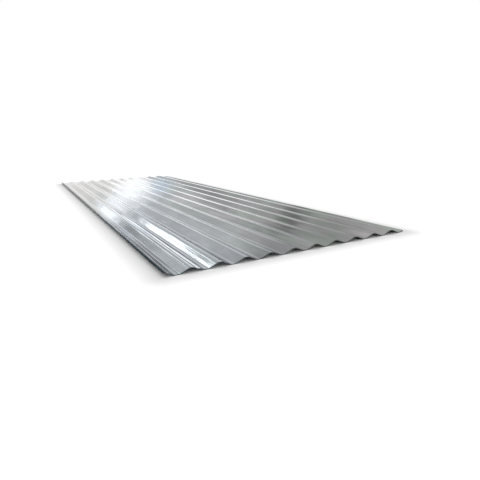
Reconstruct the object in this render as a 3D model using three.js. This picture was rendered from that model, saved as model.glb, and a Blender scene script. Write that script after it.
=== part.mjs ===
// A corrugated galvanised steel sheet: one piece of roll-formed sheet that lies flat, ribs along Y.
// Millimetres, +Z up. The origin is on the floor, under the middle of the sheet.

import * as THREE from 'three';

// The sheet
const SHEET_LENGTH = 2438;
const SHEET_THICKNESS = 0.5;

// The corrugation, as it is across the sheet
const RIB_COUNT = 10;
const RIB_PITCH = 76.2;
const RIB_DEPTH = 13; // over all, from the underside of a valley to the top of a crest
const CREST_FLAT = 6; // the straight part across the top of a rib
const VALLEY_FLAT = 6; // the straight part across the bottom of a valley
const BEND_RADIUS = 12; // at the middle of the metal

// The left edge is cut along a crest, to lap over the next sheet. The right edge goes under its neighbour.
const UNDERLAP_RISE = 5.5; // how high the last web climbs before it is cut

// How finely the bends are faceted
const BEND_STEPS = 4;

const GALVANISED = { color: 0x9ea3a4, roughness: 0.32, metalness: 1 };

// One straight run of the middle line of the metal.
function straight(length) {
  return (from) => [
    {
      x: from.x + length * Math.cos(from.heading),
      z: from.z + length * Math.sin(from.heading),
      heading: from.heading,
    },
  ];
}

// One bend through an angle, left (up) where it is positive and right (down) where it is negative.
function bend(angle) {
  const side = Math.sign(angle);
  return (from) => {
    const centreX = from.x - side * BEND_RADIUS * Math.sin(from.heading);
    const centreZ = from.z + side * BEND_RADIUS * Math.cos(from.heading);
    const stations = [];
    for (let step = 1; step <= BEND_STEPS; step += 1) {
      const heading = from.heading + (angle * step) / BEND_STEPS;
      stations.push({
        x: centreX + side * BEND_RADIUS * Math.sin(heading),
        z: centreZ - side * BEND_RADIUS * Math.cos(heading),
        heading,
      });
    }
    return stations;
  };
}

// The slope at which two bends and the straight between them fill a run and a rise.
function webSlope(run, rise) {
  const fall = 2 * BEND_RADIUS - rise;
  return Math.asin((2 * BEND_RADIUS) / Math.hypot(run, fall)) - Math.atan2(fall, run);
}

// The bends and straights of the whole profile, in the order in which they are met from the left.
function profileMoves() {
  const webRun = (RIB_PITCH - CREST_FLAT - VALLEY_FLAT) / 2;
  const webRise = RIB_DEPTH - SHEET_THICKNESS;
  const webAngle = webSlope(webRun, webRise);
  const bendRise = BEND_RADIUS * (1 - Math.cos(webAngle));
  const webStraight = (webRise - 2 * bendRise) / Math.sin(webAngle);
  const lastWebStraight = (UNDERLAP_RISE - bendRise) / Math.sin(webAngle);

  const webUp = [bend(webAngle), straight(webStraight), bend(-webAngle)];
  const webDown = [bend(-webAngle), straight(webStraight), bend(webAngle)];
  const overlap = [...webDown, straight(VALLEY_FLAT)];
  const rib = [...webUp, straight(CREST_FLAT), ...webDown, straight(VALLEY_FLAT)];
  const ribs = Array.from({ length: RIB_COUNT }, () => rib).flat();
  return [...overlap, ...ribs, bend(webAngle), straight(lastWebStraight)];
}

// The middle line of the metal: its points, each with the heading of the line there.
function middleLine() {
  const stations = [{ x: 0, z: 0, heading: 0 }];
  for (const move of profileMoves()) {
    stations.push(...move(stations.at(-1)));
  }
  return stations;
}

// A point of one face of the metal, on its upper side where the distance is positive.
function facePoint(station, distance) {
  return new THREE.Vector2(
    station.x - distance * Math.sin(station.heading),
    station.z + distance * Math.cos(station.heading),
  );
}

// The cut end of the sheet: its upper face from left to right, then its lower face back again.
function sheetSection() {
  const stations = middleLine();
  const upperFace = stations.map((station) => facePoint(station, SHEET_THICKNESS / 2));
  const lowerFace = stations.map((station) => facePoint(station, -SHEET_THICKNESS / 2));
  return new THREE.Shape([...upperFace, ...lowerFace.reverse()]);
}

// The sheet, with its section in X and Z and its length along Y, on the floor and centred over the origin.
function corrugatedSheet() {
  const geometry = new THREE.ExtrudeGeometry(sheetSection(), {
    depth: SHEET_LENGTH,
    steps: 1,
    bevelEnabled: false,
  });
  geometry.rotateX(Math.PI / 2);
  geometry.computeBoundingBox();
  const { min, max } = geometry.boundingBox;
  geometry.translate(-(min.x + max.x) / 2, -(min.y + max.y) / 2, -min.z);

  const sheet = new THREE.Mesh(geometry, new THREE.MeshStandardMaterial(GALVANISED));
  sheet.name = 'corrugated_sheet';
  return sheet;
}

const part = new THREE.Group();
part.add(corrugatedSheet());

export default part;
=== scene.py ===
"""The looks of a corrugated galvanised steel sheet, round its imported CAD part.

Everything is in metres, in the part's own frame: the ribs run along Y, +Z is up and the floor is at z = 0.
"""

import math
from typing import NamedTuple

import bpy
import numpy as np
from mathutils import Matrix, Quaternion, Vector


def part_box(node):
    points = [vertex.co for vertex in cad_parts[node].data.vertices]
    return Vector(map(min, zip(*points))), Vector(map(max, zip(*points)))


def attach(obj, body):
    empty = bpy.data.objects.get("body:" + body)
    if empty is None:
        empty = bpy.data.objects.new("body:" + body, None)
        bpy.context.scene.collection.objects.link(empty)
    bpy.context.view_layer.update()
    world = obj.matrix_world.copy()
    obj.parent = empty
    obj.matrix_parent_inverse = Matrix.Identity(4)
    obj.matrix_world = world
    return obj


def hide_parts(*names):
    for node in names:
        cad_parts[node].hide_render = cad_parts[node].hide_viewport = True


# The sheet and its corrugation, as in the CAD part
SHEET_LENGTH = 2.438
SHEET_WIDTH = 0.8146
SHEET_THICKNESS = 0.0005
RIB_COUNT = 10
RIB_PITCH = 0.0762
RIB_DEPTH = 0.013
CREST_FLAT = 0.006
VALLEY_FLAT = 0.006
BEND_RADIUS = 0.012
UNDERLAP_RISE = 0.0055

# How finely the sheet is meshed
BEND_STEPS = 5
WEB_STEPS = 6
FLAT_STEPS = 2
LENGTH_STEPS = 120
SHARP_ANGLE = math.radians(40)


# ---------------------------------------------------------------- waves


class Waves(NamedTuple):
    """Random waves: how far they move the metal, their seed, their lengths, and how many are added up."""

    reach: float
    seed: int
    lengths_across: tuple
    lengths_along: tuple
    count: int = 7


RIB_SWAY = Waves(0.0007, 11, (0.15, 0.5), (0.5, 1.6))
BELLY = Waves(0.00020, 12, (0.03, 0.12), (0.07, 0.30), 11)
SAG = Waves(0.00018, 13, (0.1, 0.4), (0.2, 0.9))
ROLL_LINES = Waves(0.00004, 14, (0.010, 0.022), (0.5, 2.5), 9)
LEFT_SLACK = Waves(0.0010, 21, (1, 2), (0.22, 0.9))
RIGHT_SLACK = Waves(0.0006, 22, (1, 2), (0.22, 0.9))
END_DROP = Waves(0.0004, 31, (0.08, 0.3), (3, 5))

# Divides a sum of waves, together with their count, so that it stays mostly between -1 and 1
RIPPLE_SPREAD = 1.6


def ripple(waves, x, y):
    """A smooth random field over x and y, from about -1 to 1."""
    draw = np.random.default_rng(waves.seed)
    total = np.zeros(np.broadcast(x, y).shape)
    for _ in range(waves.count):
        x_rate = draw.choice((-1, 1)) / draw.uniform(*waves.lengths_across)
        y_rate = 1 / draw.uniform(*waves.lengths_along)
        phase = draw.uniform(0, 1)
        total += np.sin(2 * math.pi * (x_rate * x + y_rate * y + phase))
    return total / math.sqrt(waves.count * RIPPLE_SPREAD)


# ---------------------------------------------------------------- the sheet's shape

# Inside this width the metal is free to move sideways, and beyond it it isn't
SWAY_WIDTH = 0.8

# How much of a belly's sideways move is also a move up, and the most that a crest or valley sags
BELLY_LIFT = 0.8
MOST_SAG = 0.0004

# The share of the roll lines: its value at the left edge (cut off at 1), how far it takes to fall by 1,
# and the least that is left of it
ROLL_LINES_START = 1.2
ROLL_LINES_FADE = 0.5
LEAST_ROLL_LINES = 0.3

# The free long edges: how far their waves reach into the sheet, and how the shear has turned the left one
EDGE_REACH = 0.03
EDGE_TURN = 0.0012
EDGE_TURN_REACH = 0.012

# The first rib is a little out of true on its right side, from a place near mid-length to the near end
FIRST_CREST = -0.3341
FIRST_RIB_EASE = 0.0013
FIRST_RIB_EASE_START = -0.25
FIRST_RIB_EASE_RAMP = 0.20

# The two ends: how far from the cut the ribs are flatter, and the most that they drop
END_REACH = 0.03
MOST_END_DROP = 0.001


class MiddleLine:
    """The middle line of the metal across the sheet, drawn by straight runs and bends."""

    def __init__(self):
        self.points = [(0.0, 0.0)]
        self.headings = [0.0]

    def straight(self, length, steps):
        x, z = self.points[-1]
        heading = self.headings[-1]
        for step in range(1, steps + 1):
            reach = length * step / steps
            self.points.append((x + reach * math.cos(heading), z + reach * math.sin(heading)))
            self.headings.append(heading)

    def bend(self, angle):
        x, z = self.points[-1]
        start = self.headings[-1]
        radius = math.copysign(BEND_RADIUS, angle)
        centre_x = x - radius * math.sin(start)
        centre_z = z + radius * math.cos(start)
        for step in range(1, BEND_STEPS + 1):
            heading = start + angle * step / BEND_STEPS
            self.points.append(
                (centre_x + radius * math.sin(heading), centre_z - radius * math.cos(heading))
            )
            self.headings.append(heading)

    def web(self, angle, straight_length):
        self.bend(angle)
        self.straight(straight_length, WEB_STEPS)
        self.bend(-angle)


def web_slope(run, rise):
    """The slope at which two bends and the straight between them fill a run and a rise."""
    fall = 2 * BEND_RADIUS - rise
    return math.asin(2 * BEND_RADIUS / math.hypot(run, fall)) - math.atan2(fall, run)


def middle_line():
    """x, z and heading of each station across the sheet, with the sheet centred on x = 0."""
    web_run = (RIB_PITCH - CREST_FLAT - VALLEY_FLAT) / 2
    web_rise = RIB_DEPTH - SHEET_THICKNESS
    slope = web_slope(web_run, web_rise)
    bend_rise = BEND_RADIUS * (1 - math.cos(slope))
    web_straight = (web_rise - 2 * bend_rise) / math.sin(slope)
    last_web_straight = (UNDERLAP_RISE - bend_rise) / math.sin(slope)

    line = MiddleLine()
    line.web(-slope, web_straight)
    line.straight(VALLEY_FLAT, FLAT_STEPS)
    for _ in range(RIB_COUNT):
        line.web(slope, web_straight)
        line.straight(CREST_FLAT, FLAT_STEPS)
        line.web(-slope, web_straight)
        line.straight(VALLEY_FLAT, FLAT_STEPS)
    line.bend(slope)
    line.straight(last_web_straight, FLAT_STEPS)

    x, z = np.array(line.points).T
    heading = np.array(line.headings)
    edge_lean = SHEET_THICKNESS / 2 * math.sin(heading[-1])
    x = x - (x[-1] + edge_lean) / 2
    return x, z - z.min() + SHEET_THICKNESS / 2, heading


def shaped_middle():
    """The middle surface as a grid (length, across, xyz), with the slight waves that rolled sheet has."""
    line_x, line_z, heading = middle_line()
    line_y = np.linspace(-SHEET_LENGTH / 2, SHEET_LENGTH / 2, LENGTH_STEPS + 1)
    x, y = np.meshgrid(line_x, line_y)
    z = np.broadcast_to(line_z, x.shape)
    lean = np.broadcast_to(np.sin(heading), x.shape)
    height = z / (RIB_DEPTH - SHEET_THICKNESS / 2)
    freedom = np.clip(1 - (2 * np.abs(x) / SWAY_WIDTH) ** 6, 0, 1)

    # Ribs that wander a little sideways, most at mid-width
    sway = RIB_SWAY.reach * ripple(RIB_SWAY, x, y)
    # Webs that belly in and out
    belly = BELLY.reach * ripple(BELLY, x, y)
    # Fine roll lines along the ribs, most on the left ones
    from_left = x - x.min()
    lines = ROLL_LINES.reach * ripple(ROLL_LINES, x, y)
    lines = lines * np.clip(ROLL_LINES_START - from_left / ROLL_LINES_FADE, LEAST_ROLL_LINES, 1)
    # Crests a touch lower and valleys a touch higher here and there
    sag = SAG.reach * (0.5 + 0.5 * ripple(SAG, x, y))
    sag = np.clip(sag, 0, MOST_SAG)

    shaped_x = x + freedom * (sway - belly * lean)
    shaped_z = z + sag * (1 - 2 * height) + belly * np.abs(lean) * BELLY_LIFT + lines
    return np.stack([shaped_x, y, shaped_z], axis=2)


def slacken_edges(middle):
    """The free long edges wander in long shallow waves, and the shear turns the left one down a little."""
    x, y = middle[..., 0], middle[..., 1]
    from_left = x - x.min()
    from_right = x.max() - x
    left = np.clip(1 - from_left / EDGE_REACH, 0, 1) ** 1.5
    right = np.clip(1 - from_right / EDGE_REACH, 0, 1) ** 1.5
    turned = np.clip(1 - from_left / EDGE_TURN_REACH, 0, 1) ** 2
    same_across = np.zeros_like(x)
    left_drop = np.clip(1 + ripple(LEFT_SLACK, same_across, y), 0, None)
    middle[..., 2] -= turned * EDGE_TURN + left * LEFT_SLACK.reach * left_drop
    middle[..., 2] += right * RIGHT_SLACK.reach * ripple(RIGHT_SLACK, same_across, y)


def ease_first_rib(middle):
    """The right side of the first rib is pressed shallower towards the near end."""
    x, y = middle[..., 0], middle[..., 1]
    share = np.clip((x - FIRST_CREST) / (RIB_PITCH / 2), 0, 1)
    near = np.clip((FIRST_RIB_EASE_START - y) / FIRST_RIB_EASE_RAMP, 0, 1)
    middle[..., 2] -= FIRST_RIB_EASE * near * np.sin(2 * math.pi * share)


def flare_ends(middle):
    """Shearing leaves the two ends of the ribs a little flatter."""
    x, y = middle[..., 0], middle[..., 1]
    from_end = SHEET_LENGTH / 2 - np.abs(y)
    share = np.exp(-from_end / END_REACH)
    height = middle[..., 2] / RIB_DEPTH
    drop = END_DROP.reach * (1 + ripple(END_DROP, x, np.sign(y)))
    middle[..., 2] -= share * height * np.clip(drop, 0, MOST_END_DROP)


def faces_of(middle):
    """The upper and the lower face of the metal, half its thickness to either side of the middle."""
    along = np.gradient(middle, axis=0)
    across = np.gradient(middle, axis=1)
    normal = np.cross(across, along)
    normal /= np.linalg.norm(normal, axis=2, keepdims=True)
    return middle + normal * SHEET_THICKNESS / 2, middle - normal * SHEET_THICKNESS / 2


def grid_quads(rows, columns, first, flip):
    """The four corners of each cell of a grid of points numbered row by row."""
    row, column = np.meshgrid(np.arange(rows - 1), np.arange(columns - 1), indexing="ij")
    corner = first + row * columns + column
    quads = np.stack([corner, corner + 1, corner + columns + 1, corner + columns], axis=2)
    quads = quads.reshape(-1, 4)
    return quads[:, ::-1] if flip else quads


def rim_quads(rows, columns):
    """The cut edges: a strip of cells between the rims of the two faces."""
    grid = np.arange(rows * columns).reshape(rows, columns)
    rim = np.concatenate([grid[0, :-1], grid[:-1, -1], grid[-1, :0:-1], grid[:0:-1, 0]])
    following = np.roll(rim, -1)
    lower = rows * columns
    return np.stack([rim, rim + lower, following + lower, following], axis=1)


def sheet_mesh():
    """The whole sheet as one closed mesh, inside the box of the CAD part."""
    middle = shaped_middle()
    slacken_edges(middle)
    ease_first_rib(middle)
    flare_ends(middle)
    upper, lower = faces_of(middle)
    points = np.concatenate([upper.reshape(-1, 3), lower.reshape(-1, 3)])
    lowest, highest = (np.array(corner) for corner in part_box("corrugated_sheet"))
    points = np.clip(points, lowest, highest)

    rows, columns, _ = middle.shape
    quads = np.concatenate(
        [
            grid_quads(rows, columns, 0, flip=False),
            grid_quads(rows, columns, rows * columns, flip=True),
            rim_quads(rows, columns),
        ]
    )
    mesh = bpy.data.meshes.new("galvanised_sheet")
    mesh.from_pydata(points.tolist(), [], quads.tolist())
    mesh.shade_smooth()
    mesh.set_sharp_from_angle(angle=SHARP_ANGLE)
    return mesh


# ---------------------------------------------------------------- node trees

# Where a colour Mix node has its sockets
MIX_SHARE = 0
MIX_FIRST = 6
MIX_SECOND = 7
MIX_RESULT = 2


class Noise(NamedTuple):
    """A noise pattern: how often it repeats in a metre, and the two of its values that become 0 and 1."""

    scale: tuple
    detail: float
    roughness: float = 0.5
    low: float = 0.0
    high: float = 1.0


class Nodes:
    """The node tree of a material or a world, with short ways to add nodes and to join them."""

    def __init__(self, owner):
        owner.use_nodes = True
        self.tree = owner.node_tree
        self.tree.nodes.clear()

    def add(self, kind, **settings):
        node = self.tree.nodes.new(kind)
        for name, value in settings.items():
            setattr(node, name, value)
        return node

    def join(self, output, socket):
        self.tree.links.new(output, socket)

    def feed(self, value, socket):
        """Sets a socket to a plain value, or joins another node's output to it."""
        if isinstance(value, (int, float, tuple)):
            socket.default_value = value
        else:
            self.join(value, socket)

    def finish(self, shader, kind="ShaderNodeOutputMaterial"):
        self.join(shader, self.add(kind).inputs["Surface"])

    def place(self):
        """Where a point of the surface is, in the object's own axes."""
        return self.add("ShaderNodeTexCoord").outputs["Object"]

    def axes(self, vector):
        node = self.add("ShaderNodeSeparateXYZ")
        self.join(vector, node.inputs["Vector"])
        return node.outputs

    def scaled(self, vector, scale):
        mapping = self.add("ShaderNodeMapping")
        mapping.inputs["Scale"].default_value = scale
        self.join(vector, mapping.inputs["Vector"])
        return mapping.outputs["Vector"]

    def plain_noise(self, vector, noise):
        node = self.add("ShaderNodeTexNoise")
        node.inputs["Scale"].default_value = 1.0
        node.inputs["Detail"].default_value = noise.detail
        node.inputs["Roughness"].default_value = noise.roughness
        self.join(self.scaled(vector, noise.scale), node.inputs["Vector"])
        return node.outputs["Fac"]

    def spread(self, value, low, high, to_low=0.0, to_high=1.0):
        node = self.add("ShaderNodeMapRange", interpolation_type="SMOOTHSTEP")
        node.inputs["From Min"].default_value = low
        node.inputs["From Max"].default_value = high
        node.inputs["To Min"].default_value = to_low
        node.inputs["To Max"].default_value = to_high
        self.join(value, node.inputs["Value"])
        return node.outputs["Result"]

    def spread_noise(self, vector, noise, to_low=0.0, to_high=1.0):
        """The noise, with its low and high values spread over the whole range."""
        return self.spread(self.plain_noise(vector, noise), noise.low, noise.high, to_low, to_high)

    def math(self, operation, first, second=0.0):
        node = self.add("ShaderNodeMath", operation=operation)
        self.feed(first, node.inputs[0])
        self.feed(second, node.inputs[1])
        return node.outputs["Value"]

    def weighted_sum(self, *terms):
        """The sum of some values, each given with its weight."""
        products = [self.math("MULTIPLY", value, weight) for value, weight in terms]
        total = products[0]
        for product in products[1:]:
            total = self.math("ADD", total, product)
        return total

    def mix(self, share, first, second, blend="MIX"):
        node = self.add("ShaderNodeMix", data_type="RGBA", blend_type=blend)
        self.feed(share, node.inputs[MIX_SHARE])
        self.feed(first, node.inputs[MIX_FIRST])
        self.feed(second, node.inputs[MIX_SECOND])
        return node.outputs[MIX_RESULT]

    def emission(self, colour, strength):
        node = self.add("ShaderNodeEmission")
        self.feed(colour, node.inputs["Color"])
        self.feed(strength, node.inputs["Strength"])
        return node.outputs["Emission"]

    def mix_shader(self, share, first, second):
        node = self.add("ShaderNodeMixShader")
        self.join(share, node.inputs["Fac"])
        self.join(first, node.inputs[1])
        self.join(second, node.inputs[2])
        return node.outputs["Shader"]


# ---------------------------------------------------------------- the zinc

# How many grains of zinc there are to a metre, along X, Y and Z
GRAIN_SCALE = (120, 95, 120)

# The cloudy patterns
CLOUDS = Noise((9, 3.2, 9), detail=4, roughness=0.55, low=0.30, high=0.70)
STREAKS = Noise((420, 2.2, 420), detail=3, low=0.30, high=0.70)
REFLECTION_HUES = Noise((11, 5.5, 11), detail=2, low=0.38, high=0.62)
DULLNESS = Noise((30, 11, 30), detail=3, low=0.25, high=0.75)
FAINT_LINES = Noise((85, 1.3, 85), detail=3, roughness=0.6)

# The grey, between two tones, and how much each pattern has to say in it
ZINC_DARK = (0.245, 0.255, 0.260, 1)
ZINC_LIGHT = (0.395, 0.407, 0.413, 1)
CLOUD_TONE = 0.72
GRAIN_TONE = 0.08
STREAK_TONE = 0.20

# The painted reflection tints: blue at the left, turning to patches of olive and rose between these two
# places
REFLECTION_BLUE = (0.955, 1.003, 1.036, 1)
REFLECTION_OLIVE = (0.968, 1.020, 0.925, 1)
REFLECTION_ROSE = (1.050, 0.984, 0.974, 1)
BLUE_UNTIL = -0.36
WARM_FROM = 0.14

# The gloss
LEAST_ROUGHNESS = 0.045
MOST_ROUGHNESS = 0.10
ZINC_SHEEN = (0.75, 0.76, 0.78, 1)

# The painted shade along the left edge and at the two cut ends, which darkens the colour and the sheen
# there, each given from where it starts to where it is full
PAINTED_SHADE_TINT = (0.34, 0.36, 0.355, 1)
PAINTED_SHADE_SHEEN = (0.28, 0.29, 0.30, 1)
PAINTED_SHADE_ROUGHNESS = 0.12
EDGE_SHADE_PLACE = (-0.390, -0.400)
END_SHADE_PLACE = (1.2135, 1.2165)
END_SHADE_STRENGTH = 0.8

# The relief that is too fine for the mesh
STREAK_RELIEF = 0.35
LINE_RELIEF = 15.0
GRAIN_RELIEF = 0.15
BUMP_STRENGTH = 0.06
BUMP_DISTANCE = 0.0004


def zinc_grain(nodes, place):
    """A tone of its own for each crystal of the zinc."""
    crystals = nodes.add("ShaderNodeTexVoronoi", feature="F1")
    crystals.inputs["Scale"].default_value = 1.0
    nodes.join(nodes.scaled(place, GRAIN_SCALE), crystals.inputs["Vector"])
    tones = nodes.add("ShaderNodeSeparateColor")
    nodes.join(crystals.outputs["Color"], tones.inputs["Color"])
    return tones.outputs["Red"]


def painted_edge_shade(nodes, place):
    """1 where shade is painted, along the left edge and at the two cut ends, and 0 elsewhere."""
    axes = nodes.axes(place)
    at_edge = nodes.spread(axes["X"], *EDGE_SHADE_PLACE)
    from_middle = nodes.math("ABSOLUTE", axes["Y"])
    at_ends = nodes.spread(from_middle, *END_SHADE_PLACE, to_high=END_SHADE_STRENGTH)
    return nodes.math("MAXIMUM", at_edge, at_ends)


def zinc_colour(nodes, place, grain, streaks, painted_shade):
    clouds = nodes.spread_noise(place, CLOUDS)
    tone = nodes.weighted_sum((clouds, CLOUD_TONE), (grain, GRAIN_TONE), (streaks, STREAK_TONE))
    colour = nodes.mix(tone, ZINC_DARK, ZINC_LIGHT)

    # painted reflection tints: blue at the left, olive and rose patches towards the right
    warm = nodes.mix(nodes.spread_noise(place, REFLECTION_HUES), REFLECTION_OLIVE, REFLECTION_ROSE)
    rightward = nodes.spread(nodes.axes(place)["X"], BLUE_UNTIL, WARM_FROM)
    tint = nodes.mix(rightward, REFLECTION_BLUE, warm)
    colour = nodes.mix(1.0, colour, tint, blend="MULTIPLY")
    # painted shade: the colour is darkened along the left edge and at the cut ends
    return nodes.mix(painted_shade, colour, nodes.mix(1.0, colour, PAINTED_SHADE_TINT, blend="MULTIPLY"))


def zinc_roughness(nodes, place, painted_shade):
    roughness = nodes.spread_noise(place, DULLNESS, LEAST_ROUGHNESS, MOST_ROUGHNESS)
    return nodes.math("ADD", roughness, nodes.math("MULTIPLY", painted_shade, PAINTED_SHADE_ROUGHNESS))


def zinc_relief(nodes, place, grain, streaks):
    lines = nodes.plain_noise(place, FAINT_LINES)
    height = nodes.weighted_sum((streaks, STREAK_RELIEF), (lines, LINE_RELIEF), (grain, GRAIN_RELIEF))
    bump = nodes.add("ShaderNodeBump")
    bump.inputs["Strength"].default_value = BUMP_STRENGTH
    bump.inputs["Distance"].default_value = BUMP_DISTANCE
    nodes.join(height, bump.inputs["Height"])
    return bump.outputs["Normal"]


def zinc():
    """Bright galvanised steel: fine spangle, cloudy patches, faint roll lines, painted reflection tints,
    and painted shade along the left edge and at the cut ends.
    """
    material = bpy.data.materials.new("bright_galvanised_zinc")
    nodes = Nodes(material)
    place = nodes.place()
    grain = zinc_grain(nodes, place)
    streaks = nodes.spread_noise(place, STREAKS)
    painted_shade = painted_edge_shade(nodes, place)

    shader = nodes.add("ShaderNodeBsdfPrincipled")
    shader.inputs["Metallic"].default_value = 1.0
    # painted shade: the sheen is darkened along the left edge and at the cut ends
    nodes.join(nodes.mix(painted_shade, ZINC_SHEEN, PAINTED_SHADE_SHEEN), shader.inputs["Specular Tint"])
    nodes.join(zinc_colour(nodes, place, grain, streaks, painted_shade), shader.inputs["Base Color"])
    nodes.join(zinc_roughness(nodes, place, painted_shade), shader.inputs["Roughness"])
    nodes.join(zinc_relief(nodes, place, grain, streaks), shader.inputs["Normal"])
    nodes.finish(shader.outputs["BSDF"])
    return material


# ---------------------------------------------------------------- the white studio

WHITE = (1, 1, 1, 1)
WORLD_LIGHT = 0.80

FLOOR_COLOUR = (0.88, 0.88, 0.88, 1)
FLOOR_HALF_SIZE = 60.0
FLOOR_DROP = 0.0002  # keeps the floor clear of the underside of the sheet

# The glow that lifts the floor to white, and how far from the sheet it is full; nearer the sheet it is
# weaker, which paints a soft shade round the sheet
FLOOR_LIFT = 0.30
SHADE_RING_REACH = 0.08


def white_to_lens_and_metal(nodes):
    """1 for a ray from the camera, from gloss or through glass, and 0 for the rest."""
    path = nodes.add("ShaderNodeLightPath")
    seen = nodes.math("MAXIMUM", path.outputs["Is Camera Ray"], path.outputs["Is Glossy Ray"])
    return nodes.math("MAXIMUM", seen, path.outputs["Is Transmission Ray"])


def distance_from_sheet(nodes):
    """How far a point of the floor lies outside the outline of the sheet."""
    axes = nodes.axes(nodes.place())
    away = nodes.add("ShaderNodeCombineXYZ")
    for axis, half_size in (("X", SHEET_WIDTH / 2), ("Y", SHEET_LENGTH / 2)):
        off_centre = nodes.math("ABSOLUTE", axes[axis])
        beyond = nodes.math("MAXIMUM", nodes.math("SUBTRACT", off_centre, half_size), 0.0)
        nodes.join(beyond, away.inputs[axis])
    length = nodes.add("ShaderNodeVectorMath", operation="LENGTH")
    nodes.join(away.outputs["Vector"], length.inputs[0])
    return length.outputs["Value"]


def floor_material():
    """A matt white floor, lifted to pure white for the lens once clear of the sheet; where the lift fades
    it paints a soft shade round the sheet.
    """
    material = bpy.data.materials.new("pale_floor")
    nodes = Nodes(material)
    matt = nodes.add("ShaderNodeBsdfDiffuse")
    matt.inputs["Color"].default_value = FLOOR_COLOUR
    # painted shade: the lift fades to nothing at the sheet's outline, leaving a darker ring round the sheet
    share = nodes.spread(distance_from_sheet(nodes), 0.0, SHADE_RING_REACH, to_high=FLOOR_LIFT)
    lift = nodes.emission(WHITE, nodes.math("MULTIPLY", white_to_lens_and_metal(nodes), share))
    both = nodes.add("ShaderNodeAddShader")
    nodes.join(matt.outputs["BSDF"], both.inputs[0])
    nodes.join(lift, both.inputs[1])
    nodes.finish(both.outputs["Shader"])
    return material


def background(nodes, strength):
    node = nodes.add("ShaderNodeBackground")
    node.inputs["Color"].default_value = WHITE
    node.inputs["Strength"].default_value = strength
    return node.outputs["Background"]


def make_world():
    """A plain light on the object, and pure white to look at."""
    world = bpy.data.worlds.new("white_studio")
    bpy.context.scene.world = world
    nodes = Nodes(world)
    plain = background(nodes, WORLD_LIGHT)
    white = background(nodes, 1.0)
    either = nodes.mix_shader(white_to_lens_and_metal(nodes), plain, white)
    nodes.finish(either, "ShaderNodeOutputWorld")


def make_floor():
    size = FLOOR_HALF_SIZE
    corners = [(-size, -size, 0), (size, -size, 0), (size, size, 0), (-size, size, 0)]
    mesh = bpy.data.meshes.new("floor")
    mesh.from_pydata(corners, [], [(0, 1, 2, 3)])
    mesh.materials.append(floor_material())
    floor = bpy.data.objects.new("floor", mesh)
    floor.location.z = -FLOOR_DROP
    bpy.context.scene.collection.objects.link(floor)


# ---------------------------------------------------------------- the lamp and the reflector cards

SKY_BLUE = (0.84, 0.99, 1.14, 1)
WARM_WHITE = (1.04, 1.00, 0.95, 1)

# Each card: name, place, width and height, radiance, softness, lean in degrees and tint.
# It faces the middle of the sheet. Its softness is the share of its half size over which its rim fades.
# Where two cards lie in line as the sheet sees them, the nearer one hides the farther one.
CARDS = (
    ("sky_low", (1.80, 5.92, 0.66), (0.80, 0.70), 1.60, 0.90, 0, SKY_BLUE),
    ("sky_high", (0.72, 5.92, 1.66), (0.86, 0.66), 1.45, 0.90, 0, SKY_BLUE),
    ("hot_window", (1.25, 6.00, 0.68), (1.30, 0.75), 2.15, 0.50, 0, WHITE),
    ("hot_left", (0.33, 6.00, 1.40), (0.88, 0.72), 2.60, 0.60, 0, WHITE),
    ("hot_edge", (-0.42, 5.98, 1.56), (0.72, 0.62), 2.75, 0.90, 0, WHITE),
    ("edge_gap", (-0.35, 5.99, 1.00), (1.15, 0.75), 1.35, 0.50, 0, WARM_WHITE),
    ("strip", (-0.20, 6.00, 3.46), (0.19, 2.72), 4.40, 0.25, 0, WHITE),
    ("dark_patch", (2.12, 6.00, 4.87), (1.50, 1.00), 0.38, 0.80, -8, WHITE),
    ("horizon_light", (2.20, 5.95, 0.26), (3.00, 0.60), 2.30, 0.35, 0, WHITE),
    ("left_light", (0.00, 6.05, 1.45), (2.10, 1.15), 1.85, 0.50, 0, WHITE),
    ("left_haze", (0.10, 6.07, 0.80), (2.30, 1.00), 1.50, 0.50, 0, WARM_WHITE),
    ("glow", (3.20, 6.05, 0.95), (2.80, 0.90), 2.25, 0.50, 6, WHITE),
    ("glow_far", (4.50, 6.08, 1.28), (3.20, 0.90), 1.80, 0.80, 8, WHITE),
    ("mid_dim", (1.50, 6.10, 2.55), (1.00, 2.20), 0.80, 0.50, 0, WHITE),
    ("first_rib_dark", (-0.56, 6.00, 2.15), (0.40, 0.80), 0.75, 0.80, 0, WHITE),
    ("first_rib_pale", (-0.68, 6.10, 3.35), (0.34, 1.80), 1.50, 0.60, 0, WHITE),
    ("right_dark", (6.30, 6.10, 3.00), (4.40, 2.90), 0.70, 0.60, 0, WHITE),
    ("ceiling", (2.90, 6.15, 5.55), (7.40, 2.70), 0.80, 0.40, 0, WHITE),
    ("pale_wall", (2.60, 6.20, 2.10), (3.40, 2.60), 1.30, 0.50, 0, WHITE),
    ("pale_left", (0.45, 6.25, 3.10), (2.30, 3.30), 1.22, 0.50, 0, WHITE),
    ("overhead", (0.00, -1.50, 6.00), (8.00, 7.00), 1.80, 0.50, 0, WHITE),
    ("west_dark", (-6.00, -0.50, 4.40), (9.00, 2.60), 0.45, 0.50, 0, WHITE),
    ("west_light", (-6.20, -0.50, 1.50), (9.00, 1.80), 1.70, 0.50, 0, WHITE),
    ("east_dark", (6.00, -2.00, 4.60), (8.00, 2.40), 0.60, 0.50, 0, WHITE),
    ("east_light", (6.20, -2.00, 1.50), (8.00, 1.80), 1.50, 0.50, 0, WHITE),
    ("south_dark", (0.00, -6.00, 6.00), (9.00, 6.00), 0.50, 0.50, 0, WHITE),
    ("south_light", (0.00, -6.20, 1.50), (8.00, 1.60), 1.60, 0.50, 0, WHITE),
)


def direction(azimuth, elevation):
    """A unit vector: azimuth 0 is along +Y and 90 along +X, both angles in degrees."""
    turn, climb = math.radians(azimuth), math.radians(elevation)
    flat = math.cos(climb)
    return Vector((math.sin(turn) * flat, math.cos(turn) * flat, math.sin(climb)))


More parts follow.
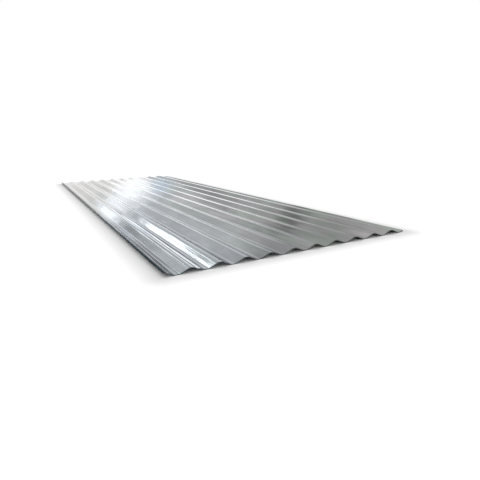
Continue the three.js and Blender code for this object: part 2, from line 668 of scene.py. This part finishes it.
def softbox(name, azimuth, elevation, distance, width, height, radiance):
    """An area lamp facing the sheet, as bright as a surface of that radiance and unseen by the camera."""
    lamp = bpy.data.lights.new(name, "AREA")
    lamp.shape = "RECTANGLE"
    lamp.size = width
    lamp.size_y = height
    lamp.energy = radiance * math.pi * width * height
    box = bpy.data.objects.new(name, lamp)
    toward = direction(azimuth, elevation)
    box.location = toward * distance
    box.rotation_mode = "QUATERNION"
    box.rotation_quaternion = toward.to_track_quat("Z", "Y")
    box.visible_camera = False
    bpy.context.scene.collection.objects.link(box)


def card_material(name, radiance, softness, tint):
    """Glows with the given radiance in its middle and fades away at its rim."""
    material = bpy.data.materials.new(name)
    nodes = Nodes(material)
    axes = nodes.axes(nodes.place())
    fades = []
    for axis in ("X", "Y"):
        off_centre = nodes.math("ABSOLUTE", axes[axis])
        fades.append(nodes.spread(off_centre, 0.5, 0.5 * (1 - softness)))
    share = nodes.math("MULTIPLY", *fades)
    clear = nodes.add("ShaderNodeBsdfTransparent").outputs["BSDF"]
    nodes.finish(nodes.mix_shader(share, clear, nodes.emission(tint, radiance)))
    return material


def card(name, place, size, radiance, softness, lean, tint):
    """A reflector beside the sheet that only its gloss sees: brighter or darker than the white round it."""
    corners = [(-0.5, -0.5, 0), (0.5, -0.5, 0), (0.5, 0.5, 0), (-0.5, 0.5, 0)]
    mesh = bpy.data.meshes.new(name)
    mesh.from_pydata(corners, [], [(0, 1, 2, 3)])
    mesh.materials.append(card_material(name, radiance, softness, tint))
    board = bpy.data.objects.new(name, mesh)
    board.location = place
    board.scale = (*size, 1)
    board.rotation_mode = "QUATERNION"
    facing = Vector(place).to_track_quat("Z", "Y")
    board.rotation_quaternion = facing @ Quaternion((0, 0, -1), math.radians(lean))
    board.visible_camera = False
    board.visible_diffuse = False
    board.visible_shadow = False
    board.visible_transmission = False
    bpy.context.scene.collection.objects.link(board)


def make_lights():
    softbox("key_overhead", azimuth=-60, elevation=55, distance=5.0, width=3.0, height=3.0, radiance=0.9)
    for row in CARDS:
        card(*row)


# ---------------------------------------------------------------- the camera

# The photograph's frame is square
SENSOR_WIDTH = 36.0
FOCAL_LENGTH = 29.95
CAMERA_PLACE = (-0.6660, -2.0840, 0.3175)
CAMERA_YAW = math.radians(28.26)
CAMERA_PITCH = math.radians(14.61)
CAMERA_ROLL = math.radians(-1.49)
NEAR_CLIP = 0.01
FAR_CLIP = 200


def camera_turn():
    """The camera's own axes as a matrix: turned from +Y towards +X, tipped down and rolled."""
    level = Vector((math.sin(CAMERA_YAW), math.cos(CAMERA_YAW), 0))
    right = Vector((math.cos(CAMERA_YAW), -math.sin(CAMERA_YAW), 0))
    up = Vector((0, 0, 1))
    forward = level * math.cos(CAMERA_PITCH) - up * math.sin(CAMERA_PITCH)
    upward = level * math.sin(CAMERA_PITCH) + up * math.cos(CAMERA_PITCH)
    axis_x = right * math.cos(CAMERA_ROLL) + upward * math.sin(CAMERA_ROLL)
    axis_y = upward * math.cos(CAMERA_ROLL) - right * math.sin(CAMERA_ROLL)
    return Matrix((axis_x, axis_y, -forward)).transposed().to_4x4()


def make_camera():
    lens = bpy.data.cameras.new("camera")
    lens.sensor_width = SENSOR_WIDTH
    lens.lens = FOCAL_LENGTH
    lens.clip_start = NEAR_CLIP
    lens.clip_end = FAR_CLIP
    camera = bpy.data.objects.new("camera", lens)
    camera.matrix_world = Matrix.Translation(CAMERA_PLACE) @ camera_turn()
    bpy.context.scene.collection.objects.link(camera)
    bpy.context.scene.camera = camera


# ---------------------------------------------------------------- all of it

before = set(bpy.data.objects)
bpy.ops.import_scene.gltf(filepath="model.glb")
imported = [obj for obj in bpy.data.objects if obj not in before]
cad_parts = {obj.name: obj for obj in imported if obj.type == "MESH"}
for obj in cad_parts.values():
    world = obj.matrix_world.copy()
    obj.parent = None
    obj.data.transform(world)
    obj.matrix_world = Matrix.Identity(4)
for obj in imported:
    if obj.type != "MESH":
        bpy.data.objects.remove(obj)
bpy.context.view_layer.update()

sheet = bpy.data.objects.new("galvanised_sheet", sheet_mesh())
bpy.context.scene.collection.objects.link(sheet)
sheet.data.materials.append(zinc())
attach(sheet, "root")
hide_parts("corrugated_sheet")

make_world()
make_floor()
make_camera()
make_lights()
bpy.context.scene.view_settings.view_transform = "Standard"
